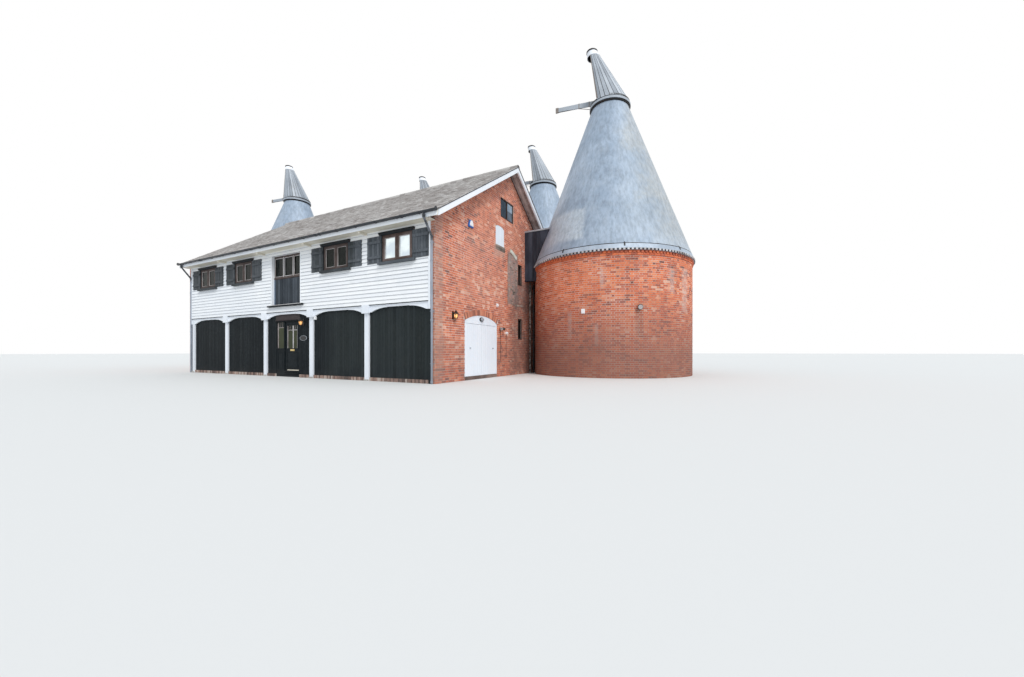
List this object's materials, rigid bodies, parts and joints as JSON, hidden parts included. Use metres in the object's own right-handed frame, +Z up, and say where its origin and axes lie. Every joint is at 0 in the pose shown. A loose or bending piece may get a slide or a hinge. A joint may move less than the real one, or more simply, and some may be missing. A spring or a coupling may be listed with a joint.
{
  "type": "oast house",
  "caption": "Hop barn with a timber front, brick gables, a tiled roof and round drying kilns with cone roofs and turning cowls behind it.",
  "frame": {"origin": "on the ground at the middle of the barn's plan, on the underside of its floor slab", "axes": "+X along the barn towards the brick gable with the arched doors, +Y from the timber front towards the kilns, +Z up"},
  "size_m": [29.9903, 18.4348, 14.822],
  "materials": {
    "concrete": "trowelled concrete",
    "brick": "mottled red brick with lime mortar",
    "arch_brick": "rubbed red brick",
    "floor_timber": "plain softwood boards",
    "white_timber": "white gloss paint",
    "weatherboard": "white painted lapped boards",
    "cream_timber": "cream paint",
    "black_boards": "black stain",
    "black_paint": "black satin paint",
    "brown_timber": "dark brown stain",
    "clay_tile": "weathered plain clay tiles",
    "black_plastic": "black rainwater goods",
    "glass": "clear window glass",
    "cone_sheet": "pale grey render, streaked",
    "cowl_boards": "white painted boards, weathered",
    "lead": "grey lead sheet"
  },
  "bodies": {
    "building": {"barn_floor": "concrete", "front_kerb": "brick", "rear_wall": "brick", "gable_wall_left": "brick", "gable_wall_right_piers": "brick", "gable_wall_right_upper": "brick", "gable_door_arch": "arch_brick", "upper_floor": "floor_timber", "front_posts": "white_timber", "front_beam": "white_timber", "front_braces": "white_timber", "front_boarding": "black_boards", "front_upper_wall": "weatherboard", "entry_lintel": "brown_timber", "entry_frame": "black_boards", "roof_front": "clay_tile", "roof_rear": "clay_tile", "ridge_tiles": "clay_tile", "bargeboards": "white_timber", "eaves_boards": "cream_timber", "gutters": "black_plastic", "downpipes": "black_plastic", "window_frames": "brown_timber", "window_glass": "glass", "window_shutters": "black_boards", "loading_bay": "black_paint", "gable_door_frame": "white_timber", "gable_hatch": "white_timber", "gable_window_frames": "brown_timber", "kiln_1_wall": "brick", "kiln_2_wall": "brick", "kiln_3_wall": "brick", "kiln_4_wall": "brick", "kiln_1_roof": "cone_sheet", "kiln_2_roof": "cone_sheet", "kiln_3_roof": "cone_sheet", "kiln_4_roof": "cone_sheet", "link_walls": "black_boards", "link_roofs": "lead"},
    "front_door": {"front_door": "black_paint"},
    "gable_door_left": {"gable_door_left": "white_timber"},
    "gable_door_right": {"gable_door_right": "white_timber"},
    "cowl_1": {"cowl_1": "cowl_boards"},
    "cowl_2": {"cowl_2": "cowl_boards"},
    "cowl_3": {"cowl_3": "cowl_boards"},
    "cowl_4": {"cowl_4": "cowl_boards"}
  },
  "joints": [
    {"name": "front_door_hinge", "type": "hinge", "parent": "building", "child": "front_door", "pos_m": [-0.235, -4.684, 1.1], "axis": [0, 0, 1], "range_deg": [0, 90]},
    {"name": "gable_door_left_hinge", "type": "hinge", "parent": "building", "child": "gable_door_left", "pos_m": [7.236, -3.187, 1], "axis": [0, 0, -1], "range_deg": [0, 110]},
    {"name": "gable_door_right_hinge", "type": "hinge", "parent": "building", "child": "gable_door_right", "pos_m": [7.236, -1.083, 1], "axis": [0, 0, 1], "range_deg": [0, 110]},
    {"name": "cowl_1_turn", "type": "hinge", "parent": "building", "child": "cowl_1", "pos_m": [10.6403, 3.42, 12], "axis": [0, 0, 1], "continuous": true},
    {"name": "cowl_2_turn", "type": "hinge", "parent": "building", "child": "cowl_2", "pos_m": [4.82, 9.535, 12], "axis": [0, 0, 1], "continuous": true},
    {"name": "cowl_3_turn", "type": "hinge", "parent": "building", "child": "cowl_3", "pos_m": [-4.76, 9.665, 12], "axis": [0, 0, 1], "continuous": true},
    {"name": "cowl_4_turn", "type": "hinge", "parent": "building", "child": "cowl_4", "pos_m": [-12.41, 3.705, 12], "axis": [0, 0, 1], "continuous": true}
  ]
}
